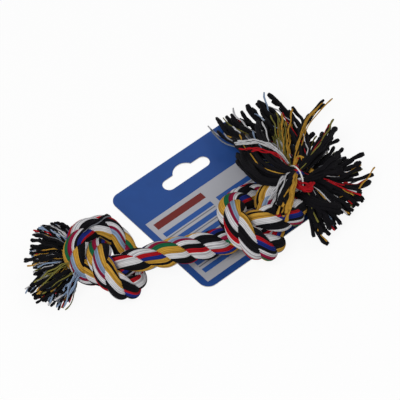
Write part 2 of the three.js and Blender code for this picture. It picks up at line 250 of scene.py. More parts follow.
knotsRoute = layRoute(ropeRoute)
knotsShift = shiftToFrame(knotsRoute, ropeRoute)
route = knotsRoute + knotsShift


# The camera stands where the photograph was taken from.
photoView = {
    "azimuth": -17.5,
    "elevation": 51,
    "distance": 1500,
    "millimetresPerPixel": 0.53,
    "pixels": 400,
    "target": (1.3, -23.8, 35.0),
    "nearestSeen": 10,
}


def makeCamera(c):
    azimuth, elevation = math.radians(c["azimuth"]), math.radians(c["elevation"])
    back = Vector((
        math.sin(azimuth) * math.cos(elevation),
        -math.cos(azimuth) * math.cos(elevation),
        math.sin(elevation),
    ))
    data = bpy.data.cameras.new("photoCamera")
    data.lens = data.sensor_width * c["distance"] / (c["pixels"] * c["millimetresPerPixel"])
    data.clip_start = c["nearestSeen"] * mm
    camera = bpy.data.objects.new("photoCamera", data)
    camera.location = (Vector(c["target"]) + back * c["distance"]) * mm
    camera.rotation_euler = back.to_track_quat("Z", "Y").to_euler()
    bpy.context.scene.collection.objects.link(camera)
    bpy.context.scene.camera = camera


makeCamera(photoView)
print("camera ready")


# Materials: colours are sRGB hex and turned to linear here.
def linear(hexColour):
    values = [int(hexColour[i:i + 2], 16) / 255 for i in (1, 3, 5)]
    return tuple(v / 12.92 if v <= 0.04045 else ((v + 0.055) / 1.055) ** 2.4 for v in values) + (1,)


def addNode(tree, kind, inputs=None, **settings):
    # inputs go by socket name or number: a value, a socket, or a node for its first output
    node = tree.nodes.new("ShaderNode" + kind)
    for name, value in settings.items():
        setattr(node, name, value)
    for name, value in (inputs or {}).items():
        if isinstance(value, bpy.types.Node):
            value = value.outputs[0]
        if isinstance(value, bpy.types.NodeSocket):
            tree.links.new(value, node.inputs[name])
        else:
            node.inputs[name].default_value = value
    return node


def newMaterial(name, look):
    # the keys of look that start with a capital are the shader's own sockets
    material = bpy.data.materials.new(name)
    material.use_nodes = True
    tree = material.node_tree
    shader = tree.nodes["Principled BSDF"]
    for socket, value in look.items():
        if socket[0].isupper():
            shader.inputs[socket].default_value = value
    return material, tree, shader


def finishMaterial(tree, shader, colour, height, strength, depth):
    # colour is the last Mix node, and height raises the surface by up to depth, in mm
    bump = {"Height": height, "Strength": strength, "Distance": depth * mm}
    tree.links.new(colour.outputs[2], shader.inputs["Base Color"])
    tree.links.new(addNode(tree, "Bump", bump).outputs[0], shader.inputs["Normal"])


# Spun cotton: matt, with a soft sheen from its fibre ends. Plies run slantwise round each yarn,
# the dye takes unevenly along it, and no two yarns of the rope are quite the same tone. The colour
# darkens in the grooves between yarns, a painted shade. Lengths are in mm. Plies and fibres are coarser
# than real ones, so that they show.
cotton = {
    "IOR": 1.5,
    "Roughness": 0.85,
    "Specular IOR Level": 0.05,
    "Sheen Weight": 0.01,
    "Sheen Roughness": 0.45,
    "plies": 3,
    "plyPitch": 3.2,
    "plyHeight": 0.12,
    "plyBump": 0.7,
    "fibreLength": 1.111,
    "fibresAcross": 5.0,
    "fibreDetail": 4.0,
    "fibreBump": 0.5,
    "dyePatch": 8.333,
    "dyeDetail": 2.0,
    "fibreShade": 0.6,
    # painted shade: how far the colour darkens in the grooves between yarns
    "grooveShade": 1.3,
    "dyeShade": 0.25,
    "toneShade": 0.65,
    "baseShade": -0.37,
}
# each colour is a light and a dark tone; the dark tone serves darker fibres, dye patches and yarns, and the
# painted shade in the grooves between yarns
cottonColours = {
    "white": ("#dddcde", "#6f6e75"),
    "black": ("#161519", "#020202"),
    "red": ("#bd1a24", "#540a10"),
    "crimson": ("#8f1b3d", "#520d24"),
    "yellow": ("#cf9f40", "#6e4b14"),
    "green": ("#1c6340", "#0e3a26"),
    "blue": ("#1f2f80", "#101847"),
    "greyBlue": ("#93a7c2", "#5b6d87"),
    "grey": ("#7f8289", "#4a4c52"),
    "olive": ("#85803f", "#46421c"),
}


def spunCotton(name):
    light, darkToneAndShade = (linear(c) for c in cottonColours[name])
    material, tree, shader = newMaterial(f"spunCotton{name[0].upper()}{name[1:]}", cotton)
    # the yarn map counts yarns round the strand and mm along it
    parts = addNode(tree, "SeparateXYZ", {0: addNode(tree, "UVMap", uv_map="yarnMap")})
    around, along = parts.outputs[0], parts.outputs[1]
    # plies, 1 on top of each and 0 between two
    plies = addNode(tree, "Math", {0: around, 1: cotton["plies"]}, operation="MULTIPLY")
    slant = addNode(tree, "Math", {0: along, 1: 1 / cotton["plyPitch"], 2: plies}, operation="MULTIPLY_ADD")
    ply = addNode(tree, "Math", {0: slant, 1: 0.5}, operation="PINGPONG")
    ply = addNode(tree, "Math", {0: ply, 1: math.pi}, operation="MULTIPLY")
    ply = addNode(tree, "Math", {0: ply}, operation="SINE")
    # fibres, stretched along the yarn
    fibreSide = addNode(tree, "Math", {0: around, 1: cotton["fibresAcross"]}, operation="MULTIPLY")
    fibreRun = addNode(tree, "Math", {0: along, 1: 1 / cotton["fibreLength"]}, operation="MULTIPLY")
    fibres = addNode(tree, "TexNoise", {
        "Vector": addNode(tree, "CombineXYZ", {0: fibreSide, 1: fibreRun}),
        "Scale": 1.0,
        "Detail": cotton["fibreDetail"],
    })
    dye = addNode(tree, "TexNoise", {
        "Vector": addNode(tree, "TexCoord").outputs["Object"],
        "Scale": 1 / (cotton["dyePatch"] * mm),
        "Detail": cotton["dyeDetail"],
    })
    # painted shade: the colour darkens towards the dark tone between two yarns, where shade falls in the
    # groove
    paintedShadeBetweenYarns = addNode(tree, "Math", {0: around, 1: 0.5}, operation="PINGPONG")  # 0 between two yarns
    yarn = addNode(tree, "Math", {0: around}, operation="FLOOR")
    tone = addNode(tree, "TexWhiteNoise", {"W": yarn}, noise_dimensions="1D").outputs["Value"]
    # the shade between the dark and the light tone is the weighted sum of four patterns: fibres, dye, yarn
    # tone, and the painted shade in the grooves between yarns
    shade = cotton["baseShade"]
    patterns = {"fibreShade": fibres, "grooveShade": paintedShadeBetweenYarns, "dyeShade": dye, "toneShade": tone}
    for weight, pattern in patterns.items():
        shade = addNode(
            tree, "Math", {0: pattern, 1: cotton[weight], 2: shade}, operation="MULTIPLY_ADD")
    colour = addNode(tree, "Mix", {0: shade, 6: darkToneAndShade, 7: light}, data_type="RGBA")
    height = addNode(tree, "Math", {0: fibres, 1: cotton["fibreBump"], 2: ply}, operation="MULTIPLY_ADD")
    finishMaterial(tree, shader, colour, height, cotton["plyBump"], cotton["plyHeight"])
    return material


yarnMaterials = {name: spunCotton(name) for name in cottonColours}
print("cotton ready")


# A mesh of closed tubes, one along each line: rings of the given sections, with end caps.
def tubeMesh(name, rings, uMap, vMap, materials, materialOf):
    # rings is lines x rings x sides x 3 in mm; uMap runs round and vMap, in mm, along each line
    lines, steps, sides, _ = rings.shape
    tips = rings[:, [0, -1]].mean(axis=2)
    verts = np.concatenate([rings.reshape(-1, 3), tips.reshape(-1, 3)]) * mm
    line, step, side = np.meshgrid(np.arange(lines), np.arange(steps - 1), np.arange(sides), indexing="ij")
    turn = (side + 1) % sides
    ring = (line * steps + step) * sides
    nextRing = ring + sides
    quads = np.stack([ring + side, ring + turn, nextRing + turn, nextRing + side], -1).reshape(-1, 4)
    capLine, capSide = np.meshgrid(np.arange(lines), np.arange(sides), indexing="ij")
    capTurn = (capSide + 1) % sides
    firstTip = lines * steps * sides + capLine * 2
    firstRing = capLine * steps * sides
    lastRing = firstRing + (steps - 1) * sides
    caps = np.concatenate([
        np.stack([firstRing + capTurn, firstRing + capSide, firstTip], -1).reshape(-1, 3),
        np.stack([lastRing + capSide, lastRing + capTurn, firstTip + 1], -1).reshape(-1, 3),
    ])
    loops = np.concatenate([quads.ravel(), caps.ravel()])
    starts = np.concatenate([np.arange(len(quads)) * 4, quads.size + np.arange(len(caps)) * 3])
    mesh = bpy.data.meshes.new(name)
    mesh.vertices.add(len(verts))
    mesh.vertices.foreach_set("co", verts.ravel())
    mesh.loops.add(len(loops))
    mesh.loops.foreach_set("vertex_index", loops.astype(np.int32))
    mesh.polygons.add(len(starts))
    mesh.polygons.foreach_set("loop_start", starts.astype(np.int32))
    for material in materials:
        mesh.materials.append(material)
    capMaterial = np.tile(materialOf[capLine.ravel(), 0], 2)
    faceMaterial = np.concatenate([materialOf[line, side].ravel(), capMaterial])
    mesh.polygons.foreach_set("material_index", faceMaterial.astype(np.int32))
    nextU = np.append(uMap[1:], uMap[0] + 1)
    before, after = vMap[line, step], vMap[line, step + 1]
    uv = np.zeros((len(loops), 2), np.float32)
    uv[:quads.size, 0] = np.stack([uMap[side], nextU[side], nextU[side], uMap[side]], -1).ravel()
    uv[:quads.size, 1] = np.stack([before, before, after, after], -1).ravel()
    mesh.uv_layers.new(name="yarnMap").data.foreach_set("uv", uv.ravel())
    mesh.update(calc_edges=True)
    mesh.shade_smooth()
    mesh.validate()
    piece = bpy.data.objects.new(name, mesh)
    bpy.context.scene.collection.objects.link(piece)
    return piece


# where the card lies, from the pin's hole, with the height of its top, the ease of its edge
# and how far its right and far edges can swing, as a share of the distance from the hole
cardPlace = {
    "turn": 23.5,
    "left": -72,
    "right": 16,
    "low": -13.5,
    "high": 70.5,
    "top": 2.7,
    "ease": 3,
    "sweepShare": 0.21,
}
tableGap = 0.02  # what lies on the table or the card stays this far above it


def floorUnder(points):
    # yarns lie on the card where it is under them, and on the table elsewhere
    turn = math.radians(cardPlace["turn"])
    x, y = points[..., 0] - cardHinge[0], points[..., 1] - cardHinge[1]
    u = x * math.cos(turn) + y * math.sin(turn)
    v = -x * math.sin(turn) + y * math.cos(turn)
    ease = cardPlace["ease"]
    inside = smoothStep(u, cardPlace["left"] - ease, cardPlace["left"])
    right = cardPlace["right"] + cardPlace["sweepShare"] * np.maximum(v, 0)
    inside = inside * smoothStep(right - u, -ease, 0)
    inside = inside * smoothStep(v, cardPlace["low"] - ease, cardPlace["low"])
    high = cardPlace["high"] + cardPlace["sweepShare"] * np.maximum(-u, 0)
    inside = inside * smoothStep(high - v, -ease, 0)
    return cardPlace["top"] * inside


# The rope: three plump strands, each a bundle of coloured yarns. The strands are twisted against
# the lay of the rope, so that their stripes run nearly along it and one bulge of a strand shows
# them all. Each strand's stripes go once round it, with their counts of yarns. Yarns are drawn
# about a millimetre wide, coarser than real ones, so that they show.
ropeLook = {
    "strandRadius": 4.8,
    "strandOffset": 2.95,
    "squeeze": {"left": 0.87, "right": 1.0},
    "ringStep": 0.8,
    "yarnCrown": 0.36,
    "samplesPerYarn": 4,
    "firstStripe": -0.145,
    "counterTwist": -0.76,
    "wander": 0.05,
    "wanderLength": 31,
    "swell": 0.07,
    "swellLength": 19,
    "waveOctaves": (1, 2.3),
    "waveStretch": (0.8, 1.25),
    "waveCalm": 1.5,  # brings the sum of the waves to about 1
    "endTaper": 0.4,
    "taperLength": 4,
    "seed": 4,
    "stripes": [
        [("red", 3), ("white", 6), ("black", 6), ("yellow", 4), ("greyBlue", 3), ("crimson", 2),
         ("white", 3), ("black", 3)],
        [("white", 2), ("crimson", 3), ("green", 3), ("yellow", 5), ("white", 4), ("black", 6),
         ("red", 2), ("blue", 3), ("black", 2)],
        [("black", 2), ("yellow", 4), ("white", 4), ("black", 6), ("white", 5), ("red", 3),
         ("blue", 3), ("yellow", 3)],
    ],
}


def softNoise(rng, run, yarns, wavelength):
    # smooth random waves along the rope, one for each yarn, at each of its samples
    wave = np.zeros((yarns, len(run)))
    for octave in ropeLook["waveOctaves"]:
        phase = rng.uniform(0, 2 * math.pi, (yarns, 1))
        stretch = rng.uniform(*ropeLook["waveStretch"], (yarns, 1))
        wave += np.sin(2 * math.pi * run * octave / (wavelength * stretch) + phase) / octave
    return np.repeat(wave.T / ropeLook["waveCalm"], ropeLook["samplesPerYarn"], axis=1)


def softFullness(line):
    # soft cotton springs back between the CAD's squeezed passes and bulges into them
    return fullnessAt(line[:, 0] - knotsShift[0], {**ropeRoute, "squeeze": ropeLook["squeeze"]})


def makeRope(look):
    rng = np.random.default_rng(look["seed"])
    line, side, up, run, lines = strandLinesOf(
        route, ropeRoute, look["strandOffset"], look["ringStep"], softFullness)
    yarns = sum(count for _, count in look["stripes"][0])
    samples = look["samplesPerYarn"]
    share = np.arange(yarns * samples) / samples  # counts yarns round the strand
    crown = np.sqrt(np.maximum(0, 1 - (2 * (share % 1) - 1) ** 2)) * look["yarnCrown"]
    toEnd = np.minimum(run, run[-1] - run)
    taper = 1 - look["endTaper"] * (1 - smoothStep(toEnd, 0, look["taperLength"]))
    full = (softFullness(line) * taper)[:, None]
    middle = len(run) // 2
    level = math.atan2(side[middle, 1], side[middle, 2])  # how far the carried side has rolled
    names = list(cottonColours)
    rings = np.empty((len(lines), len(run), yarns * samples, 3))
    materialOf = np.empty((len(lines), yarns * samples), int)
    for strand, centre in enumerate(lines):
        along = carriedFrames(centre)[0]
        wander = softNoise(rng, run, yarns, look["wanderLength"]) * look["wander"]
        swell = softNoise(rng, run, yarns, look["swellLength"]) * look["swell"]
        counterTurns = look["counterTwist"] * (run - run[middle])[:, None] / ropeRoute["layPitch"]
        turns = strand / len(lines) + counterTurns
        angle = 2 * math.pi * (share / yarns + look["firstStripe"] + turns) + level + wander
        radius = (look["strandRadius"] - look["yarnCrown"] + crown) * full + swell * (crown > 0)
        direction = side[:, None] * np.cos(angle)[..., None] + up[:, None] * np.sin(angle)[..., None]
        # squared to the strand's own run, not the rope's
        direction -= along[:, None] * (direction * along[:, None]).sum(-1, keepdims=True)
        rings[strand] = centre[:, None] + unit(direction) * radius[..., None]
        stripes = [names.index(name) for name, count in look["stripes"][strand] for _ in range(count)]
        materialOf[strand] = np.repeat(stripes, samples)
    rings[..., 2] = np.maximum(rings[..., 2], floorUnder(rings) + tableGap)  # pressed flat where it lies
    lengths = np.tile(run, (len(lines), 1))
    rope = tubeMesh("laidRope", rings, share, lengths, list(yarnMaterials.values()), materialOf)
    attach(rope, "toy")
    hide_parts("strand_red", "strand_yellow", "strand_white")


makeRope(ropeLook)
print("rope ready")


# The tassels: the CAD's fans, filled with loose yarns that keep the crimp of the lay. Shares of a
# yarn's length count from its root, and a pair of numbers is the range that yarns vary in.
tassel = {
    "length": 58,
    "leadShare": 0.2,
    "approachShare": 0.4,
    "spreadBy": 0.9,
    "insideStrand": 2.0,
    "endSteps": 3,
    "thickRadius": {"left": 0.64, "right": 0.98},
    "thinRadius": 0.4,
    "radiusVaries": (0.75, 1.2),
    "rootShare": 0.5,
    "fullBy": 0.55,
    "cutEndShares": (1.15, 1.35, 1.0),  # the cut end opens before it closes
    "ovalShare": 0.16,
    "ovalRun": 9,
    "sideHint": (0.1, 0.2, 1),  # a direction that no yarn takes
    "sides": 7,
    "steps": 28,
    "crimpSize": 0.4,
    "crimpSizeVaries": (0.3, 1.4),
    "crimpLength": 12,
    "crimpVaries": (0.7, 1.3),
    "crimpFullBy": 0.3,
    "bow": 8.0,
    "bowTurns": (0.4, 0.9),
    "bowUpShare": 0.6,
    "droop": 2.0,
    "shortest": 0.4,
    "lengthPower": 0.6,  # under 1, more yarns are long than short
    "cellRoom": 0.55,
    "flecks": ["white", "olive", "red", "greyBlue", "white", "grey", "yellow"],
    "fleckShare": {"left": 0.42, "right": 0.28},
    "clearOfRope": 7.3,
    "clearFrom": 0.12,
    "clearBy": 0.4,
    "clearRounds": 2,
    "floorGap": 0.1,
    "floorSoftness": 0.35,
    "seed": {"left": 1011, "right": 11},
    "tuftSeedStep": 100,
    "lockSeedStep": 10,
}
# heading is in degrees; reach, width, depth and height are shares of the tassel's length; count
# is the number of yarns in a lock; puff lifts the tips; gather, where given, narrows the tuft
tufts = {
    "right": {
        "upper": {
            "heading": 96, "reach": 1.16, "width": 0.41, "depth": 0.1, "height": 0.12,
            "locks": "black white black yellow black",
            "count": 26, "puff": 1.2, "longest": 1.0, "gather": 0.86,
        },
        "middle": {
            "heading": 30, "reach": 0.77, "width": 0.34, "depth": 0.13, "height": 0.17,
            "locks": "black yellow black grey black",
            "count": 30, "puff": 1.5, "longest": 0.93,
        },
        "lower": {
            "heading": -50, "reach": 0.58, "width": 0.34, "depth": 0.11, "height": 0.13,
            "locks": "black red black white black",
            "count": 28, "puff": 1.5, "longest": 0.88,
        },
    },
    "left": {
        "upper": {
            "heading": 124, "reach": 0.42, "width": 0.14, "depth": 0.09, "height": 0.12,
            "locks": "black white black red black",
            "count": 28, "puff": 1.3, "longest": 1.0,
        },
        "middle": {
            "heading": 173, "reach": 0.44, "width": 0.15, "depth": 0.1, "height": 0.12,
            "locks": "black black white yellow black",
            "count": 30, "puff": 1.4, "longest": 0.98,
        },
        "lower": {
            "heading": 216, "reach": 0.65, "width": 0.2, "depth": 0.1, "height": 0.12,
            "locks": "black blue yellow black white",
            "count": 32, "puff": 1.3, "longest": 0.92,
        },
    },
}
# the share of a lock's yarns that have its own colour; the others are black
ownShare = {"black": 1, "white": 0.4, "yellow": 0.35, "red": 0.2, "blue": 0.4, "grey": 0.4}
# where a tuft's five locks stand in its section, in shares of its half width and half depth
lockSpots = [(0, 0), (0.57, 0.34), (-0.57, 0.34), (-0.57, -0.34), (0.57, -0.34)]


def bezierAt(points, t):
    a, b, c, d = points
    t = t[..., None]
    place = a * (1 - t) ** 3 + b * 3 * t * (1 - t) ** 2 + c * 3 * t**2 * (1 - t) + d * t**3
    slope = 3 * ((b - a) * (1 - t) ** 2 + (c - b) * 2 * t * (1 - t) + (d - c) * t**2)
    return place, unit(slope)


def tuftSection(root, along, tuft, t, endRadius):
    heading = math.radians(tuft["heading"])
    out = np.array((math.cos(heading), math.sin(heading), 0))
    reach = tuft["reach"] * tassel["length"]
    tip = root + out * reach
    tip[2] = tuft["height"] * tassel["length"]
    lead = root + along * tassel["leadShare"] * reach
    approach = tip - out * tassel["approachShare"] * reach
    centre, tangent = bezierAt((root, lead, approach, tip), t)
    level = np.array((-math.sin(heading), math.cos(heading), 0))
    wide = unit(level - tangent * (tangent @ level)[..., None])
    deep = np.cross(tangent, wide)
    spread = smoothStep(t, 0, tassel["spreadBy"])
    halfWidth = endRadius + (tuft["width"] * tassel["length"] - endRadius) * spread
    halfDepth = endRadius + (tuft["depth"] * tassel["length"] - endRadius) * spread
    return centre, wide, deep, halfWidth, halfDepth


def keepClear(points, free):
    # pushes yarns out of the rope; free is 0 at the root and 1 where they have left the neck
    ropeLine = route[::2]
    free = np.broadcast_to(free, points.shape[:2]).ravel()
    for _ in range(tassel["clearRounds"]):
        flat = points.reshape(-1, 3)
        gap = flat[:, None] - ropeLine[None]
        distance = np.linalg.norm(gap, axis=2)
        nearest = distance.argmin(axis=1)
        least = distance[np.arange(len(flat)), nearest]
        away = gap[np.arange(len(flat)), nearest] / np.maximum(least, tiny)[:, None]
        need = np.maximum(0, tassel["clearOfRope"] - least) * free
        points = (flat + away * need[:, None]).reshape(points.shape)
    return points


def yarnLines(rng, root, along, tuft, cell, radius, endRadius):
    # the middle lines of one lock's yarns
    count = len(radius)
    t = np.linspace(0, 1, tassel["steps"])[None, :]
    grown = rng.uniform(0, 1, (count, 1)) ** tassel["lengthPower"]
    longest = tassel["shortest"] + (tuft["longest"] - tassel["shortest"]) * grown
    share = np.clip(t * longest, 0, 1)
    angle = rng.uniform(0, 2 * math.pi, count)
    ring = np.sqrt(rng.uniform(0, 1, count)) * tassel["cellRoom"]
    cx = (lockSpots[cell][0] + ring * np.cos(angle))[:, None]
    cy = (lockSpots[cell][1] + ring * np.sin(angle))[:, None]
    centre, wide, deep, halfWidth, halfDepth = tuftSection(root, along, tuft, share, endRadius)
    reach = tuft["reach"] * tassel["length"]
    turns = reach * longest / tassel["crimpLength"] * rng.uniform(*tassel["crimpVaries"], (count, 1))
    crimp = 2 * math.pi * (turns * t + rng.uniform(0, 1, (count, 1)))
    size = tassel["crimpSize"] * rng.uniform(*tassel["crimpSizeVaries"], (count, 1))
    size = size * smoothStep(t, 0, tassel["crimpFullBy"])
    bend = rng.uniform(-1, 1, (2, count, 1)) * tassel["bow"] * share**2 * reach / tassel["length"]
    bowTurns = rng.uniform(*tassel["bowTurns"], (count, 1))
    curl = np.sin(2 * math.pi * (t * bowTurns + rng.uniform(0, 1, (count, 1))))
    atSide = cx * halfWidth * tuft.get("gather", 1) + bend[0] * curl + size * np.cos(crimp)
    puff = 1 + (tuft["puff"] - 1) * share**2  # loose tips stand up off the fan
    atUp = cy * halfDepth * puff + bend[1] * curl * tassel["bowUpShare"] + size * np.sin(crimp)
    lines = centre + wide * atSide[..., None] + deep * atUp[..., None]
    lines[..., 2] -= tassel["droop"] * rng.uniform(0, 1, (count, 1)) * t**2
    lines = keepClear(lines, smoothStep(t, tassel["clearFrom"], tassel["clearBy"]))
    floor = floorUnder(lines) + radius[:, None] + tassel["floorGap"]
    soft = tassel["floorSoftness"]
    lines[..., 2] = floor + soft * np.logaddexp(0, (lines[..., 2] - floor) / soft)
    return lines


def yarnRings(lines, radius):
    # the rings of points round each line, and the run of the yarn up to each ring
    count, steps, _ = lines.shape
    turn = 2 * math.pi * np.arange(tassel["sides"]) / tassel["sides"]
    full = smoothStep(np.linspace(0, 1, steps), 0, tassel["fullBy"])
    grow = tassel["rootShare"] + (1 - tassel["rootShare"]) * full
    grow[-len(tassel["cutEndShares"]):] *= tassel["cutEndShares"]
    rings = np.empty((count, steps, tassel["sides"], 3))
    for k, line in enumerate(lines):
        _, side, up = carriedFrames(line, tassel["sideHint"])
        size = radius[k] * grow
        oval = 1 + tassel["ovalShare"] * np.sin(np.linspace(0, tassel["ovalRun"], steps) + k)
        rings[k] = (
            line[:, None]
            + side[:, None] * (np.cos(turn) * (size * oval)[:, None])[..., None]
            + up[:, None] * (np.sin(turn) * (size / oval)[:, None])[..., None]
        )
    rings[..., 2] = np.maximum(rings[..., 2], tableGap)
    lengths = np.cumsum(np.linalg.norm(np.diff(lines, axis=1, prepend=lines[:, :1]), axis=2), axis=1)
    return rings, lengths


def yarnPiece(name, lines, radius, names, which):
    # one piece of many yarns, with the names of its colours and which of them each yarn has
    rings, lengths = yarnRings(lines, radius)
    around = np.arange(tassel["sides"]) / tassel["sides"]
    materialOf = np.tile(which[:, None], (1, tassel["sides"]))
    piece = tubeMesh(name, rings, around, lengths, [yarnMaterials[n] for n in names], materialOf)
    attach(piece, "toy")
    return piece


def strandEnds(sideName):
    # where the three strands end and which way they point there, across the tassel's fan
    ends = []
    for line in cadStrands(route, ropeRoute, knotsShift[0]):
        line = line[::-1] if sideName == "left" else line
        along = unit(line[-1] - line[-1 - tassel["endSteps"]])
        ends.append((line[-1] - along * tassel["insideStrand"], along))
    neck = unit(sum(along for _, along in ends))
    across = np.array((-neck[1], neck[0], 0)) * sideOf[sideName]
    return sorted(ends, key=lambda end: -float(end[0] @ across))


def makeTassel(sideName):
    ends = strandEnds(sideName)
    endRadius = ropeRoute["strandRadius"] * ropeRoute["squeeze"][sideName]
    for index, (tuftName, tuft) in enumerate(tufts[sideName].items()):
        root, along = ends[index]
        count = tuft["count"]
        numbers = {}
        for cell, word in enumerate(tuft["locks"].split()):
            numbers[word] = numbers.get(word, 0) + 1
            seed = tassel["seed"][sideName] + tassel["tuftSeedStep"] * index
            rng = np.random.default_rng(seed + tassel["lockSeedStep"] * cell)
            # yarns of the lock's own colour are fine, the black ones round them thick
            own = np.arange(count) < count * ownShare[word]
            fleck = rng.uniform(0, 1, count) < tassel["fleckShare"][sideName]
            thick = (~own | (word == "black")) & ~fleck
            radius = np.where(thick, tassel["thickRadius"][sideName], tassel["thinRadius"])
            radius = radius * rng.uniform(*tassel["radiusVaries"], count)
            lines = yarnLines(rng, root, along, tuft, cell, radius, endRadius)
            mainNames = ["black", "greyBlue" if word == "blue" else word]
            names = mainNames + tassel["flecks"]
            which = np.where(fleck, rng.integers(len(mainNames), len(names), count), own)
            name = f"{sideName}{tuftName.title()}Tuft{word.title()}Yarns{numbers[word]}"
            piece = yarnPiece(name, lines, radius, names, which)
            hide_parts(f"{sideName}_{tuftName}_tuft_{word}_lock_{numbers[word]}")


makeTassel("left")
makeTassel("right")
print("tassels ready")


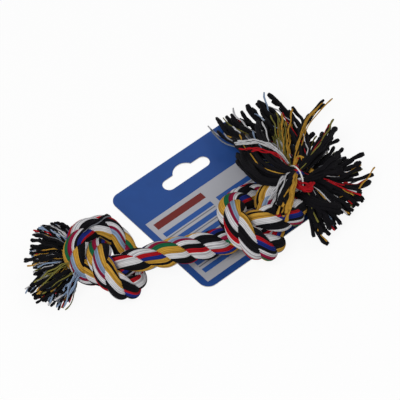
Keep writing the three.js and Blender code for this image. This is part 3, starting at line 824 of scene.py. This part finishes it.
# Yarns that strayed from the tassels, in bundles. Each bundle has a few points given in mm, and
# spread is its radius at the tip.
strayYarn = {
    "seed": 511,
    "divisions": 200,
    "shortest": 0.72,
    "windBy": (-2, 2),
    "rootShare": 0.3,
    "crimps": (2, 4),
    "crimpSize": 0.35,
    "crimpFullBy": 0.3,
    "clearFrom": 0.05,
    "clearBy": 0.25,
    "fleckShare": 0.2,
    "radiusVaries": (0.8, 1.2),
}
strays = {
    "blackOverKnot": {"colour": "black", "radius": 0.95, "yarns": 14, "spread": 5.5,
        "points": [(57, -13, 26), (51, -20, 33), (44, -17, 34), (40.5, -1, 27), (42, 28, 15)]},
    "blackByKnot": {"colour": "black", "radius": 0.95, "yarns": 10, "spread": 5.0,
        "points": [(56, -14, 25), (48, -23, 32), (39, -21, 33), (35, -6, 27), (37, 22, 13)]},
    "blackByNeck": {"colour": "black", "radius": 0.95, "yarns": 12, "spread": 5.5,
        "points": [(57, -12, 26), (53, -17, 33), (48.5, -12, 34), (48, 6, 27), (52, 38, 13)]},
    "whiteOver": {"colour": "white", "radius": 0.38, "yarns": 7, "spread": 3.0,
        "points": [(55, -12, 32), (51, -4, 36), (44, 8, 32), (32, 17, 25)]},
    "redOver": {"colour": "red", "radius": 0.4, "yarns": 3, "spread": 1.6,
        "points": [(54, -13, 32), (50, -9, 37), (43, 0, 34), (34, 9, 27)]},
    "yellowBundle": {"colour": "yellow", "radius": 0.6, "yarns": 7, "spread": 1.5,
        "points": [(58, -16, 26), (61, -6, 26), (64, -4, 25), (68.5, -15, 21.5), (71, -23, 19)]},
    "redBundle": {"colour": "red", "radius": 0.5, "yarns": 11, "spread": 3.0,
        "points": [(54.5, -18, 27), (57, -25, 28), (61, -27, 27), (64, -22, 26)]},
    "redUp": {"colour": "red", "radius": 0.5, "yarns": 2, "spread": 0.5,
        "points": [(60, -17, 26), (60, -8, 26.5), (63, -4.5, 25.5), (67, -13, 22)]},
    "whiteUp": {"colour": "white", "radius": 0.38, "yarns": 8, "spread": 3.0,
        "points": [(52.5, -13, 25), (53.5, -2, 24.5), (57, 8, 22), (59, 19, 18)]},
    "yellowUp": {"colour": "yellow", "radius": 0.38, "yarns": 16, "spread": 6.0,
        "points": [(54.5, -13, 25), (59, 5, 22.5), (66.5, 26, 16), (72, 40, 12)]},
    "oliveUp": {"colour": "olive", "radius": 0.34, "yarns": 10, "spread": 6.0,
        "points": [(56, -12, 27), (57, 8, 23), (62, 26, 17), (65, 40, 12)]},
    "blackDown": {"colour": "black", "radius": 0.95, "yarns": 12, "spread": 4.5,
        "points": [(56, -17, 30), (51, -23, 33), (45.5, -31, 32.5), (38.5, -42, 32.5)]},
    "yellowDown": {"colour": "yellow", "radius": 0.7, "yarns": 9, "spread": 4.5,
        "points": [(57, -18, 30), (53, -25, 32.5), (47, -35, 33.5), (39, -46.5, 31)]},
    "whiteDown": {"colour": "white", "radius": 0.4, "yarns": 7, "spread": 4.0,
        "points": [(55, -17, 31), (49, -24, 35), (43, -31, 34), (36, -38, 32.5)]},
    "blackRight": {"colour": "black", "radius": 0.8, "yarns": 6, "spread": 2.5,
        "points": [(57, -12, 25), (68.5, 11, 20), (82, 31, 13), (97, 43, 9)]},
    "blackBallFar": {"colour": "black", "radius": 1.0, "yarns": 12, "spread": 5.5,
        "points": [(56, -18, 24), (69, -9, 27), (81, 4, 23), (91, 19, 16)]},
    "blackBallTop": {"colour": "black", "radius": 1.0, "yarns": 9, "spread": 5.0,
        "points": [(57, -19, 24), (68.5, -17, 27), (79, -10, 24), (87, -1, 17)]},
    "blackBallNear": {"colour": "black", "radius": 1.0, "yarns": 9, "spread": 4.0,
        "points": [(57, -20, 24), (70, -19, 25), (80, -15, 19), (88, -14.5, 12)]},
    "blackLowTop": {"colour": "black", "radius": 1.0, "yarns": 9, "spread": 4.0,
        "points": [(55.5, -24, 21), (61.5, -33, 22), (70, -36, 17), (80, -34.5, 11)]},
    "blackLowTail": {"colour": "black", "radius": 0.95, "yarns": 5, "spread": 2.5,
        "points": [(54.5, -24, 17), (59.5, -33, 16), (62, -39, 11), (63, -44, 6)]},
    "longYarn": {"colour": "yellow", "radius": 0.35, "yarns": 1, "spread": 0,
        "points": [(79.5, -27, 12), (90, -24.5, 11), (99, -17.5, 11), (106, -12, 12)]},
    "leftBlackFar": {"colour": "black", "radius": 0.7, "yarns": 14, "spread": 5.0,
        "points": [(-66, -20, 12), (-71, -10, 14), (-76.5, -1, 11), (-81, 4, 7)]},
    "leftBlackTop": {"colour": "black", "radius": 0.7, "yarns": 16, "spread": 6.0,
        "points": [(-66, -22, 14), (-75, -16.5, 16), (-82, -9, 12), (-87, -4.5, 7)]},
    "leftBlackMiddle": {"colour": "black", "radius": 0.7, "yarns": 16, "spread": 6.5,
        "points": [(-68, -25.5, 14), (-78, -25.5, 16), (-87, -22.5, 12), (-94, -20, 7)]},
    "leftBlackNear": {"colour": "black", "radius": 0.7, "yarns": 14, "spread": 6.0,
        "points": [(-68.5, -31, 12), (-79, -36.5, 14), (-89, -37, 10), (-96, -36, 6)]},
    "leftWhiteFar": {"colour": "white", "radius": 0.34, "yarns": 10, "spread": 6.0,
        "points": [(-66, -20, 15), (-71.5, -11, 17), (-77.5, -3, 14), (-82, 1, 10)]},
    "leftOliveNear": {"colour": "olive", "radius": 0.32, "yarns": 8, "spread": 9.0,
        "points": [(-68.5, -30, 15), (-79, -34.5, 17), (-88, -35, 13), (-94, -34, 9)]},
    "leftGreyBlueNear": {"colour": "greyBlue", "radius": 0.34, "yarns": 9, "spread": 6.0,
        "points": [(-66.5, -32, 15), (-73, -39, 15), (-79, -44, 11), (-84, -48, 7)]},
    "leftKnotTip": {"colour": "black", "radius": 0.42, "yarns": 6, "spread": 1.6,
        "points": [(-63, -22, 30), (-57.5, -19.5, 31), (-51.5, -17, 30.5), (-44.5, -10.5, 21.5)]},
    "yellowRight": {"colour": "yellow", "radius": 0.4, "yarns": 6, "spread": 3.0,
        "points": [(57, -12, 26), (69, 10, 22), (82, 29, 16), (97, 42, 11)]},
}


def readAlong(values, t):
    # values stand at even steps and are read at places t from 0 to 1
    even = np.linspace(0, 1, len(values))
    return np.stack([np.interp(t, even, column) for column in values.T], -1)


def makeStrays(look):
    for index, (name, stray) in enumerate(strays.items()):
        rng = np.random.default_rng(look["seed"] + index)
        points = np.array(stray["points"], float)
        line = evenPoints(points, look["divisions"], count=tassel["steps"] - 1)
        _, side, up = carriedFrames(line, tassel["sideHint"])
        count = stray["yarns"]
        t = np.linspace(0, 1, len(line)) * rng.uniform(look["shortest"], 1, (count, 1))
        angle = rng.uniform(0, 2 * math.pi, (count, 1)) + t * rng.uniform(*look["windBy"], (count, 1))
        off = stray["spread"] * np.sqrt(rng.uniform(0, 1, (count, 1)))
        off = off * (look["rootShare"] + (1 - look["rootShare"]) * t)
        crimps = rng.uniform(*look["crimps"], (count, 1))
        crimp = 2 * math.pi * (t * crimps + rng.uniform(0, 1, (count, 1)))
        size = look["crimpSize"] * smoothStep(t, 0, look["crimpFullBy"])
        atSide = off * np.cos(angle) + size * np.cos(crimp)
        atUp = off * np.sin(angle) + size * np.sin(crimp)
        lines = readAlong(line, t) + readAlong(side, t) * atSide[..., None]
        lines = lines + readAlong(up, t) * atUp[..., None]
        lines = keepClear(lines, smoothStep(t, look["clearFrom"], look["clearBy"]))
        # thin flecks of other colours lie among the black yarns
        fleckShare = look["fleckShare"] if stray["colour"] == "black" else 0
        fleck = rng.uniform(0, 1, count) < fleckShare
        radius = np.where(fleck, tassel["thinRadius"], stray["radius"])
        radius = radius * rng.uniform(*look["radiusVaries"], count)
        names = [stray["colour"]] + tassel["flecks"]
        which = np.where(fleck, rng.integers(1, len(names), count), 0)
        yarnPiece(f"{name}Yarns", lines, radius, names, which)


makeStrays(strayYarn)
print("stray yarns ready")


# Header card: offset-printed solid bleached board, 0.6 mm, with a gloss varnish on the printed
# side, so its ink is a little uneven and its grain shows faintly. Plain panels and bars only; u
# runs along the card and v up to the hanging slot. Lengths are in mm, places from the pin's hole.
card = {
    "IOR": 1.5,
    "Roughness": 0.5,
    "Specular IOR Level": 0.3,
    "blue": "#1b488d",
    "deepBlue": "#173d7c",
    "barBlue": "#214d92",
    "panel": "#a8a9b0",
    "lineGrey": "#6f7077",
    "red": "#62130f",
    "board": "#dcdad4",
    "underside": "#cfccc4",
    "panelBox": (-68, -9.5, 10, 42),
    "redBarBox": (-65, 34.5, -31, 39),
    "columns": [(-65, -31), (-27, 7)],
    "barTop": 31,
    "barPitch": 6.4,
    "barHeight": 3.2,
    "lineDrop": 4.4,
    "lineHeight": 0.7,
    "bars": 6,
    "inkPatch": 11.11,
    "inkDetail": 3.0,
    "grainWidth": 0.3333,
    "grainDetail": 3.0,
    "grainBump": 0.15,
    "grainHeight": 0.02,
    "facesUp": 0.5,
}


def insideBox(tree, u, v, box):
    # 1 inside the box, which gives its left, low, right and high edges
    inside = {}
    for side, (at, low, high) in enumerate(((u, box[0], box[2]), (v, box[1], box[3]))):
        middle, half = (low + high) / 2, (high - low) / 2
        inside[side] = addNode(tree, "Math", {0: at, 1: middle, 2: half}, operation="COMPARE")
    return addNode(tree, "Math", inside, operation="MULTIPLY")


def cardPrint(tree, onCard, c):
    # blue ink, then shapes in other colours, of which each covers those before it
    ink = addNode(tree, "TexNoise", {
        "Vector": onCard,
        "Scale": 1 / c["inkPatch"],
        "Detail": c["inkDetail"],
    })
    face = addNode(tree, "Mix", {0: ink, 6: linear(c["deepBlue"]), 7: linear(c["blue"])}, data_type="RGBA")
    parts = addNode(tree, "SeparateXYZ", {0: onCard})
    u, v = parts.outputs[0], parts.outputs[1]
    shapes = [
        (insideBox(tree, u, v, c["panelBox"]), "panel"),
        (insideBox(tree, u, v, c["redBarBox"]), "red"),
    ]
    barsEnd = c["barTop"] - (c["bars"] - 1) * c["barPitch"] - c["barHeight"]
    down = addNode(tree, "Math", {0: c["barTop"], 1: v}, operation="SUBTRACT")
    down = addNode(tree, "Math", {0: down, 1: c["barPitch"]}, operation="FLOORED_MODULO")
    bar = addNode(tree, "Math", {0: down, 1: c["barHeight"]}, operation="LESS_THAN")
    line = addNode(tree, "Math", {0: down, 1: c["lineDrop"], 2: c["lineHeight"] / 2}, operation="COMPARE")
    for left, right in c["columns"]:
        column = insideBox(tree, u, v, (left, barsEnd, right, c["barTop"]))
        for part, colour in ((line, "lineGrey"), (bar, "barBlue")):
            shapes.append((addNode(tree, "Math", {0: part, 1: column}, operation="MULTIPLY"), colour))
    for shape, colour in shapes:
        face = addNode(tree, "Mix", {0: shape, 6: face.outputs[2], 7: linear(c[colour])}, data_type="RGBA")
    return face


def printedBoard(c):
    material, tree, shader = newMaterial("printedBoardVarnished", c)
    onCard = addNode(tree, "Mapping", {
        "Vector": addNode(tree, "TexCoord").outputs["Object"],
        "Location": tuple(cardHinge * mm),
        "Rotation": (0, 0, math.radians(cardPlace["turn"])),
        "Scale": (mm, mm, mm),
    }, vector_type="TEXTURE")
    face = cardPrint(tree, onCard, c)
    grain = addNode(tree, "TexNoise", {
        "Vector": onCard,
        "Scale": 1 / c["grainWidth"],
        "Detail": c["grainDetail"],
    })
    board = {0: grain, 6: linear(c["underside"]), 7: linear(c["board"])}
    board = addNode(tree, "Mix", board, data_type="RGBA")
    normal = addNode(tree, "SeparateXYZ", {0: addNode(tree, "NewGeometry").outputs["Normal"]})
    printed = addNode(tree, "Math", {0: normal.outputs[2], 1: c["facesUp"]}, operation="GREATER_THAN")
    colour = addNode(
        tree, "Mix", {0: printed, 6: board.outputs[2], 7: face.outputs[2]}, data_type="RGBA")
    finishMaterial(tree, shader, colour, grain, c["grainBump"], c["grainHeight"])
    return material


# Loop pin: moulded nylon, milky and half glossy, with clouds a few mm wide.
pin = {
    "IOR": 1.53,
    "Roughness": 0.35,
    "Subsurface Weight": 0.2,
    "Subsurface Radius": (0.5 * mm, 0.5 * mm, 0.5 * mm),
    "clear": "#e6e6e2",
    "cloudy": "#cfcfca",
    "cloudWidth": 3.333,
    "cloudDetail": 2.0,
    "cloudBump": 0.2,
    "cloudHeight": 0.03,
}


def mouldedNylon(c):
    material, tree, shader = newMaterial("mouldedNylonMilky", c)
    cloud = addNode(tree, "TexNoise", {
        "Vector": addNode(tree, "TexCoord").outputs["Object"],
        "Scale": 1 / (c["cloudWidth"] * mm),
        "Detail": c["cloudDetail"],
    })
    milky = {0: cloud, 6: linear(c["cloudy"]), 7: linear(c["clear"])}
    milky = addNode(tree, "Mix", milky, data_type="RGBA")
    finishMaterial(tree, shader, milky, cloud, c["cloudBump"], c["cloudHeight"])
    return material


def dressNode(node, material):
    piece = frame["nodes"][node]
    piece.data.materials.clear()
    piece.data.materials.append(material)


dressNode("header_card", printedBoard(card))
dressNode("loop_pin", mouldedNylon(pin))
print("card and pin ready")


# Studio: a floor of matt white paper, which the camera sees white, and soft light at a plain level.
paper = {
    "Roughness": 0.9,
    "colour": "#f4f4f4",
    "size": 4000,
    "glow": 0.9,  # the share of what the camera sees of it that is plain white
}
studio = {
    "white": "#ffffff",
    "worldStrength": 0.33,
    "softboxes": [
        {"name": "keySoftbox", "watts": 14.0, "size": 700, "from": (-600, -700, 1250)},
        {"name": "fillSoftbox", "watts": 3.5, "size": 900, "from": (900, 200, 1100)},
    ],
}


def makeFloor(p, white):
    half = p["size"] / 2 * mm
    mesh = bpy.data.meshes.new("paperFloor")
    corners = [(-half, -half, 0), (half, -half, 0), (half, half, 0), (-half, half, 0)]
    mesh.from_pydata(corners, [], [(0, 1, 2, 3)])
    floor = bpy.data.objects.new("paperFloor", mesh)
    bpy.context.scene.collection.objects.link(floor)
    material, tree, shader = newMaterial("paperMatt", p)
    shader.inputs["Base Color"].default_value = linear(p["colour"])
    rays = addNode(tree, "LightPath").outputs
    share = addNode(tree, "Math", {0: rays["Is Camera Ray"], 1: p["glow"]}, operation="MULTIPLY")
    glow = addNode(tree, "Emission", {"Color": white, "Strength": 1.0})
    mixed = addNode(tree, "MixShader", {0: share, 1: shader, 2: glow})
    tree.links.new(mixed.outputs[0], tree.nodes["Material Output"].inputs["Surface"])
    mesh.materials.append(material)


def makeWorld(strength, white):
    # the world lights the toy evenly, and is white where it is seen or mirrored
    world = bpy.data.worlds.new("studioWorld")
    bpy.context.scene.world = world
    world.use_nodes = True
    tree = world.node_tree
    rays = addNode(tree, "LightPath").outputs
    seen = rays["Is Camera Ray"]
    for kind in ("Is Glossy Ray", "Is Transmission Ray"):
        seen = addNode(tree, "Math", {0: seen, 1: rays[kind]}, operation="MAXIMUM")
    level = addNode(tree, "Math", {0: seen, 1: 1 - strength, 2: strength}, operation="MULTIPLY_ADD")
    background = tree.nodes["Background"]
    background.inputs["Color"].default_value = white
    tree.links.new(level.outputs[0], background.inputs["Strength"])


def makeSoftbox(lamp):
    data = bpy.data.lights.new(lamp["name"], "AREA")
    data.energy = lamp["watts"]
    data.size = lamp["size"] * mm
    light = bpy.data.objects.new(lamp["name"], data)
    light.location = Vector(lamp["from"]) * mm
    light.rotation_euler = Vector(lamp["from"]).to_track_quat("Z", "Y").to_euler()
    bpy.context.scene.collection.objects.link(light)


makeFloor(paper, linear(studio["white"]))
makeWorld(studio["worldStrength"], linear(studio["white"]))
for lamp in studio["softboxes"]:
    makeSoftbox(lamp)
bpy.context.scene.view_settings.view_transform = "Standard"
print("studio ready")
